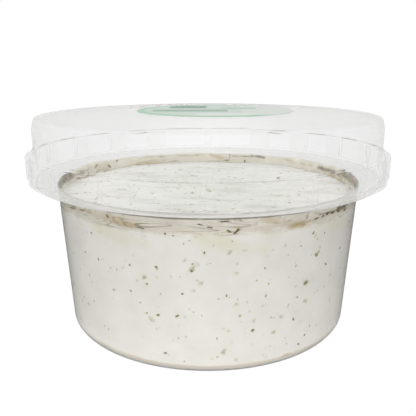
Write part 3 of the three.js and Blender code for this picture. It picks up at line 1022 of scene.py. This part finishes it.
def clear_plastic(name, bend, gloss, milk_facing, milk_grazing, greying):
    """Plastic that the eye sees bent, with a milky share that scatters light to both sides. The
    share grows from milk_facing, seen straight on, to milk_grazing, seen along the surface,
    because the path through the wall grows. greying is the light lost in each millimetre. A slow
    flow of the melt, 9 mm across, changes the gloss and ripples the surface."""
    material, tree, place = new_material(name)
    flow = add(tree, "TexNoise", {"Vector": place, "Scale": 1 / (9 * MM), "Detail": 2})
    haze = add(tree, "MapRange", {
        "Value": flow, "From Min": 0.35, "From Max": 0.65, "To Min": 0.02, "To Max": 0.06,
    })
    bump = add(tree, "Bump", {"Height": flow, "Strength": 0.03, "Distance": 0.1 * MM})
    plastic = add(tree, "BsdfPrincipled", {
        "Base Color": linear(CLEAR),
        "Roughness": haze,
        "IOR": bend,
        "Transmission Weight": 1.0,
        "Coat Weight": gloss,
        "Coat Roughness": 0.04,
        "Coat IOR": 1.49,
        "Normal": bump,
    })
    scattered_back = add(tree, "BsdfDiffuse", {"Color": linear(MILK)})
    scattered_on = add(tree, "BsdfTranslucent", {"Color": linear(MILK)})
    milk = add(tree, "MixShader", {0: 0.5, 1: scattered_back, 2: scattered_on})
    slant = add(tree, "LayerWeight", {"Blend": 0.5}).outputs["Facing"]
    steep = add(tree, "Math", {0: slant, 1: 3.0}, operation="POWER")
    share = add(tree, "MapRange", {"Value": steep, "To Min": milk_facing, "To Max": milk_grazing})
    on_rib = add(tree, "Attribute", attribute_name="rib").outputs["Fac"]
    share = add(tree, "Math", {0: on_rib, 1: RIB_MILK, 2: share}, operation="MULTIPLY_ADD")
    milky = add(tree, "MixShader", {0: share, 1: plastic, 2: milk})
    path = add(tree, "LightPath")
    passes = add(tree, "Math", {0: path.outputs["Is Shadow Ray"], 1: path.outputs["Is Diffuse Ray"]},
                 operation="MAXIMUM")
    through = add(tree, "BsdfTransparent", {"Color": (1, 1, 1, 1)})
    shader = add(tree, "MixShader", {0: passes, 1: milky, 2: through})
    result = {"Surface": shader}
    if greying:
        black = (0, 0, 0, 1)
        result["Volume"] = add(tree, "VolumeAbsorption", {"Color": black, "Density": greying / MM})
    add(tree, "OutputMaterial", result)
    return material


for piece, *finish in (           # name, bend, gloss, milk_facing, milk_grazing, greying
    (tub_shell, "clear_polypropylene_against_dip", 1.45, 0.0, 0.02, 0.05, 0),
    (tub_shell, "milky_polypropylene_of_flange", 1.002, 0.03, 0.42, 0.50, 0),
    (lid_shell, "milky_polypropylene_of_lid", 1.002, 0.0, 0.015, 0.22, 0.007),
):
    piece.data.materials.append(clear_plastic(*finish))
face_height = np.empty(3 * len(tub_shell.data.polygons))
tub_shell.data.polygons.foreach_get("center", face_height)
at_mouth = (face_height.reshape(-1, 3)[:, 2] > MOUTH_START * MM).astype(np.int32)
tub_shell.data.polygons.foreach_set("material_index", at_mouth)
print(f"{at_mouth.sum()} of the tub's {len(at_mouth)} faces belong to its mouth")

# %% [markdown]
# ## Whipped feta dip
# The dip is a thick white cream of feta and yoghurt. Pressed against plastic it looks matt, and it
# is never one white: it has cloudy patches some 8 mm across, whey that shines through pale
# yellow-green, tan oil in fine level strands, and herbs a little under the surface. The painted
# numbers say where these are, and noise at the right size breaks each of them up.

# %% Stains laid over a colour
CREAM = "F2EFE8"
CREAM_SHADE = "E8E5DC"
# painted shade: the whole top is a cooler, slightly darker cream than the side, for how the light
# reaches it under the lid and label
UPPER_CREAM = "EDECE9"
STREAK_SHADE = "BAB7B0"                  # painted shade: grey streaks on the top, the shading of its soft relief, which also dim the top
VEIL = "D8D2C3"                   # a greyer band near the dip's level
WHEY = "E6E1C8"
OIL = "D3BB88"
STRAND = "86734A"
SUNK_HERB = "A89E76"
# painted shade on the top near the wall
RIM_GREY = "A9A297"
FILM_CREAM = "F8F5EC"
FILM_SHADE = "EDE8DB"
WET_CREAM = "F4F0E6"              # between the hairlines of oil
# grey-brown residue, also used as painted shade at the film's ends
GRIME_AND_SHADE = "9C9384"
DARK_GRIME_AND_SHADE = "6A6150"
CORNER_SHADOW_GREY = "8F877C"            # painted shadow: the grey of the dark line in the corner of wall and flange
HAIRLINES = 13.0                  # contour lines over the noise's range
HAIRLINE_WIDTH = 0.16             # of the distance between two lines, to each side


def stained(tree, colour, layers):
    """Lays each layer's ink over the colour. A layer is the name of the painted numbers, the noise
    that breaks them up, the low and high bound of their product, the ink and its strength."""
    for key, noise, low, high, ink, weight in layers:
        painted_on = add(tree, "Attribute", attribute_name=key).outputs["Fac"]
        broken = add(tree, "Math", {0: painted_on, 1: noise}, operation="MULTIPLY")
        mask = add(tree, "MapRange", {
            "Value": broken, "From Min": low, "From Max": high, "To Max": weight,
        }, interpolation_type="SMOOTHSTEP")
        colour = add(tree, "Mix", {0: mask, 6: colour, 7: linear(ink)}, data_type="RGBA").outputs[2]
    return colour


def oil_noises(tree, place):
    """Level streaks of oil some 7 mm long, and hairlines: the thin contour lines of a smoother,
    flatter and slightly tilted noise, where its value times the number of lines passes a whole
    number."""
    level = add(tree, "Mapping", {"Vector": place, "Scale": (1, 1, 3.2)})
    streak = add(tree, "TexNoise", {
        "Vector": level, "Scale": 1 / (7 * MM), "Detail": 5, "Distortion": 0.8,
    })
    flatter = add(tree, "Mapping", {
        "Vector": place, "Rotation": (0, 0.35, 0), "Scale": (0.3, 0.3, 3.5),
    })
    smooth = add(tree, "TexNoise", {
        "Vector": flatter, "Scale": 1 / (8 * MM), "Detail": 1.0, "Roughness": 0.35,
    })
    steps = add(tree, "Math", {0: smooth, 1: HAIRLINES}, operation="MULTIPLY")
    to_line = add(tree, "Math", {0: steps, 1: 0.5}, operation="PINGPONG")
    hairline = add(tree, "MapRange", {
        "Value": to_line, "From Max": HAIRLINE_WIDTH, "To Min": 1, "To Max": 0,
    })
    return streak, hairline


print("stains go from", WHEY, "to", STRAND)

# %% Dip material
def whipped_feta():
    """Cream with clouds, whey, oil, hairlines and sunken herbs, each laid over the last, and painted
    shade on the top. Clouds are 8 mm across, lumps 2 mm, crumbs 1 mm, and the streaks of painted
    shade on top 15 mm long."""
    material, tree, place = new_material("whipped_feta_dip")
    cloud = add(tree, "TexNoise", {
        "Vector": place, "Scale": 1 / (8 * MM), "Detail": 6, "Roughness": 0.6,
    })
    clouded = add(tree, "MapRange", {"Value": cloud, "From Min": 0.3, "From Max": 0.7})
    lump = add(tree, "TexNoise", {"Vector": place, "Scale": 1 / (2.2 * MM), "Detail": 3})
    crumb = add(tree, "TexNoise", {"Vector": place, "Scale": 1 / (0.8 * MM), "Detail": 3})
    streak, hairline = oil_noises(tree, place)
    colour = add(tree, "Mix", {0: clouded, 6: linear(CREAM), 7: linear(CREAM_SHADE)},
                 data_type="RGBA").outputs[2]
    smoothed = add(tree, "Mapping", {"Vector": place, "Scale": (0.3, 1, 1)})
    shade_streaks = add(tree, "TexNoise", {
        "Vector": smoothed, "Scale": 1 / (4.5 * MM), "Detail": 5, "Roughness": 0.6, "Distortion": 0.5,
    })
    colour = stained(tree, colour, (
        # the upper, streak and rim layers are painted shade on the dip's top
        ("upper", lump, 0.0, 0.05, UPPER_CREAM, 0.8),
        ("upper", shade_streaks, 0.44, 0.74, STREAK_SHADE, 0.55),
        ("veil", clouded, 0.05, 0.9, VEIL, 0.8),
        ("whey", clouded, 0.1, 0.8, WHEY, 0.8),
        ("rim", lump, 0.25, 0.75, RIM_GREY, 0.6),
        ("sunk", crumb, 0.14, 0.50, SUNK_HERB, 0.65),
        ("oil", streak, 0.12, 0.75, OIL, 0.85),
        ("web", hairline, 0.05, 0.9, STRAND, 0.6),
    ))
    bump = add(tree, "Bump", {"Height": lump, "Strength": 0.5, "Distance": 0.4 * MM})
    cream = add(tree, "BsdfPrincipled", {
        "Base Color": colour, "Roughness": 0.55, "IOR": 1.4, "Normal": bump,
    })
    add(tree, "OutputMaterial", {"Surface": cream})
    return material


dip_body.data.materials.append(whipped_feta())
print("the dip's material has", len(dip_body.data.materials[0].node_tree.nodes), "nodes")

# %% [markdown]
# ## The film's material
# The film is the same cream, dried thin, and oil has run over it as over the dip. At the sides and
# on its upper edge it is grey-beige with brown spots, and at both sides that grey is partly painted
# shade. A painted shadow darkens the corner under the flange, and round the back the stains are
# painted lighter, as painted light. Where it is thin or was scraped off it lets light through.

# %% Film material
def dried_film():
    """Thin dried cream with the dip's stains, in patches 4 mm across and spots of 1 mm. Light
    comes through it, and it is bare where its cover plus part of the patches' noise is low."""
    material, tree, place = new_material("dried_film_of_dip")
    patch = add(tree, "TexNoise", {
        "Vector": place, "Scale": 1 / (4 * MM), "Detail": 6, "Roughness": 0.65,
    })
    spot = add(tree, "TexNoise", {"Vector": place, "Scale": 1 / (1.3 * MM), "Detail": 4})
    patchy = add(tree, "MapRange", {"Value": patch, "From Min": 0.35, "From Max": 0.65})
    streak, hairline = oil_noises(tree, place)
    colour = add(tree, "Mix", {0: patchy, 6: linear(FILM_CREAM), 7: linear(FILM_SHADE)},
                 data_type="RGBA").outputs[2]
    colour = stained(tree, colour, (
        # these two layers are lighter round the back: painted light
        ("patina_and_back_light", patch, 0.30, 0.75, VEIL, 0.2),
        ("patina_and_back_light", spot, 0.56, 0.74, GRIME_AND_SHADE, 0.35),
        # grey-brown residue, and painted shade at the film's ends
        ("grime_and_shade", patch, 0.12, 0.45, GRIME_AND_SHADE, 0.85),
        ("grime_and_shade", spot, 0.42, 0.60, DARK_GRIME_AND_SHADE, 0.8),
        ("oil", streak, 0.12, 0.75, OIL, 0.7),
        ("oil", spot, 0.55, 0.85, STRAND, 0.35),
        ("web", streak, 0.30, 0.60, WET_CREAM, 0.45),
        ("web", hairline, 0.05, 0.9, STRAND, 0.65),
        ("lip", spot, 0.20, 0.50, DARK_GRIME_AND_SHADE, 0.6),
        # painted shadow in the corner under the flange
        ("corner", patch, 0.1, 0.4, CORNER_SHADOW_GREY, 0.9),
    ))
    front = add(tree, "BsdfPrincipled", {"Base Color": colour, "Roughness": 0.5})
    glow = add(tree, "BsdfTranslucent", {"Color": colour})
    body = add(tree, "MixShader", {0: 0.3, 1: front, 2: glow})
    cover = add(tree, "Attribute", attribute_name="cover").outputs["Fac"]
    patch_share = add(tree, "Math", {0: patch, 1: 0.8, 2: cover}, operation="MULTIPLY_ADD")
    bare = add(tree, "MapRange", {
        "Value": patch_share, "From Min": 0.45, "From Max": 1.25, "To Min": 1.0, "To Max": 0.0,
    })
    clear = add(tree, "BsdfTransparent")
    shader = add(tree, "MixShader", {0: bare, 1: body, 2: clear})
    add(tree, "OutputMaterial", {"Surface": shader})
    return material


dip_smears.data.materials.append(dried_film())
print("the film's material has", len(dip_smears.data.materials[0].node_tree.nodes), "nodes")

# %% [markdown]
# ## Dried herbs
# Dill and parsley dry to a dull olive, dark where they were cut and paler where cream coats them.
# Each chip carries one number, which picks its tone, and a fine noise of leaf grain varies it.

# %% Herb material
HERB_TONES = ((0.1, "5C5426"), (0.35, "857843"), (0.65, "A89D6E"), (0.99, "BDB391"))


def dried_herbs():
    """Dark to pale olive by the chip's own number, with a leaf grain of 0.3 mm."""
    material, tree, place = new_material("chopped_dried_herbs")
    tone = add(tree, "Attribute", attribute_name="tone").outputs["Fac"]
    grain = add(tree, "TexNoise", {"Vector": place, "Scale": 1 / (0.3 * MM), "Detail": 2})
    varied = add(tree, "Math", {0: grain, 1: 0.4, 2: tone}, operation="MULTIPLY_ADD")
    shade = add(tree, "ValToRGB", {0: varied})
    put_stops(shade, [(stop, linear(paint)) for stop, paint in HERB_TONES])
    leaf = add(tree, "BsdfPrincipled", {"Base Color": shade, "Roughness": 0.7})
    add(tree, "OutputMaterial", {"Surface": leaf})
    return material


herb_flecks.data.materials.append(dried_herbs())
print("herbs go from", HERB_TONES[0][1], "to", HERB_TONES[-1][1])

# %% [markdown]
# ## Printed label
# The label is coated paper with a plain print in greens: a mint edge, a pale green field, two
# broad grey-green bars, a pale strip below them, a light green patch and a pale side. Each field
# is a soft-edged box or ring in the label's own millimetres.

# %% Label material
PRINT_FIELDS = (                  # left, right, near, far edge from the label's middle, and its ink
    (7.5, 23.0, -23.0, 23.0, "EAEFE9"),
    (-13.5, -2.5, 6.0, 17.0, "A0B8A8"),
    (-17.5, 3.5, -6.5, 1.0, "AFCAB8"),
    (-5.0, 8.5, -18.5, -11.0, "EEF4EE"),
    (2.0, 12.0, 3.5, 9.5, "C6DECE"),
)
PRINT_SOFTNESS = 0.2
PALE_GREEN = "E2EEE4"
PALE_SHADE = "D8E6DB"
MINT = "BCDFC5"
MINT_INSIDE = 2.6                 # from the label's edge to where the mint ring starts
MINT_FULL = 1.8                   # and to where it has its full colour
MINT_END = (16, 10)               # to the right it fades out between these
FIBRE = 1.5


def printed_paper():
    """Coated paper: a pale field, boxes of ink over it and a mint ring at the edge. A box is
    where the distance to its middle is less than half its width, both ways."""
    material, tree, place = new_material("printed_coated_paper")
    centred = add(tree, "Mapping", {
        "Vector": place, "Location": (-LABEL_OFFSET, 0, 0), "Scale": (1 / MM, 1 / MM, 0),
    })
    fibre = add(tree, "TexNoise", {"Vector": centred, "Scale": 1 / FIBRE, "Detail": 5})
    axes = add(tree, "SeparateXYZ", {0: centred})
    colour = add(tree, "Mix", {0: fibre, 6: linear(PALE_GREEN), 7: linear(PALE_SHADE)},
                 data_type="RGBA").outputs[2]
    for left, right, near, far, ink in PRINT_FIELDS:
        cover = 1.0
        for axis, low, high in (("X", left, right), ("Y", near, far)):
            middle, half = (low + high) / 2, (high - low) / 2
            offset = add(tree, "Math", {0: axes.outputs[axis], 1: middle}, operation="SUBTRACT")
            away = add(tree, "Math", {0: offset}, operation="ABSOLUTE")
            inside = add(tree, "MapRange", {
                "Value": away, "From Min": half - PRINT_SOFTNESS, "From Max": half + PRINT_SOFTNESS,
                "To Min": 1, "To Max": 0,
            })
            cover = add(tree, "Math", {0: cover, 1: inside}, operation="MULTIPLY")
        colour = add(tree, "Mix", {0: cover, 6: colour, 7: linear(ink)}, data_type="RGBA").outputs[2]
    radius = add(tree, "VectorMath", {0: centred}, operation="LENGTH").outputs["Value"]
    ring = add(tree, "MapRange", {
        "Value": radius, "From Min": LABEL_RADIUS - MINT_INSIDE, "From Max": LABEL_RADIUS - MINT_FULL,
    })
    left_of = add(tree, "MapRange", {
        "Value": axes.outputs["X"], "From Min": MINT_END[0], "From Max": MINT_END[1],
    })
    mint = add(tree, "Math", {0: ring, 1: left_of}, operation="MULTIPLY")
    colour = add(tree, "Mix", {0: mint, 6: colour, 7: linear(MINT)}, data_type="RGBA").outputs[2]
    paper = add(tree, "BsdfPrincipled", {"Base Color": colour, "Roughness": 0.35, "IOR": 1.45})
    add(tree, "OutputMaterial", {"Surface": paper})
    return material


label_disc.data.materials.append(printed_paper())
print(f"the label has {len(PRINT_FIELDS)} printed fields and a mint edge")

# %% [markdown]
# ## The floor
# The tub stands on a white light table, which shines by itself, so the only shadow is the thin
# dark line where the foot touches it. As in the room, its brightness goes by the kind of ray, and
# it falls off to the left and right. What shows through the tub's foot is slightly darker, because
# the tub keeps the light off it. The table isn't part of the object.

# %% Floor
FLOOR_SIZE = 3000
FLOOR_DROP = 0.02
TABLE_MIDDLE = 0.78
TABLE_SIDES = 0.15
TABLE_FADE = 120                  # from the middle to where the table is dimmest, left and right
THROUGH_MIDDLE = 0.98             # the same two for what shows through plastic
THROUGH_SIDES = 0.9
UNDER_FOOT = (39.5, 43)           # from the axis: between these the tub's shade fades out
UNDER_TUB = "D2C9BB"              # colour of the table under the tub, lit through dip and plastic
CONTACT = 0.35                    # how far from the foot its shadow reaches

corner = FLOOR_SIZE / 2
floor_points = np.array([(x, y, -FLOOR_DROP) for x, y in (
    (-corner, -corner), (corner, -corner), (corner, corner), (-corner, corner))])
floor = put_mesh("floor", floor_points, np.array([[0, 1, 2, 3]]))
table_top, tree, place = new_material("white_table_top")
across = add(tree, "SeparateXYZ", {0: place})
distance = add(tree, "Math", {0: across.outputs["X"]}, operation="ABSOLUTE")
fades = [
    add(tree, "MapRange", {
        "Value": distance, "From Max": TABLE_FADE * MM, "To Min": middle, "To Max": side,
    }, interpolation_type="SMOOTHSTEP")
    for middle, side in ((TABLE_MIDDLE, TABLE_SIDES), (THROUGH_MIDDLE, THROUGH_SIDES))
]
dimmed = add(tree, "Math", {0: fades[0], 1: MIRRORED}, operation="MULTIPLY")
radius = add(tree, "VectorMath", {0: place}, operation="LENGTH").outputs["Value"]
under = add(tree, "MapRange", {
    "Value": radius, "From Min": UNDER_FOOT[0] * MM, "From Max": UNDER_FOOT[1] * MM,
    "To Min": 1, "To Max": 0,
})
path = add(tree, "LightPath")
shaded = add(tree, "Math", {0: under, 1: path.outputs["Is Transmission Ray"]}, operation="MULTIPLY")
tint = add(tree, "Mix", {0: shaded, 6: (1, 1, 1, 1), 7: linear(UNDER_TUB)}, data_type="RGBA").outputs[2]
near_foot = add(tree, "AmbientOcclusion", {"Distance": CONTACT * MM}, samples=8)
shadow = add(tree, "MapRange", {
    "Value": near_foot.outputs["AO"], "From Min": 0.1, "From Max": 0.6, "To Min": 0.0, "To Max": 1.02,
})
brightness = by_ray(tree, fades[0], (
    ("Is Glossy Ray", dimmed), ("Is Transmission Ray", fades[1]), ("Is Camera Ray", shadow)))
shine = add(tree, "Emission", {"Color": tint, "Strength": brightness})
add(tree, "OutputMaterial", {"Surface": shine})
floor.data.materials.append(table_top)

# %% [markdown]
# ## Handing the pieces over
# Each piece rides on the part's one body, and the imported solid that it stands for is hidden.
# Each row gives the piece, that solid and the record's material slot.

# %% Ride, replace and slot
for piece, node_name, slot_name in (
    (tub_shell, "tub", "tub_plastic"),
    (dip_body, "dip", "dip"),
    (lid_shell, "lid", "lid_plastic"),
    (label_disc, "label", "label_print"),
    (herb_flecks, "dip", "dip"),
    (dip_smears, "dip", "dip"),
):
    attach(piece, "root")
    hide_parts(node_name)
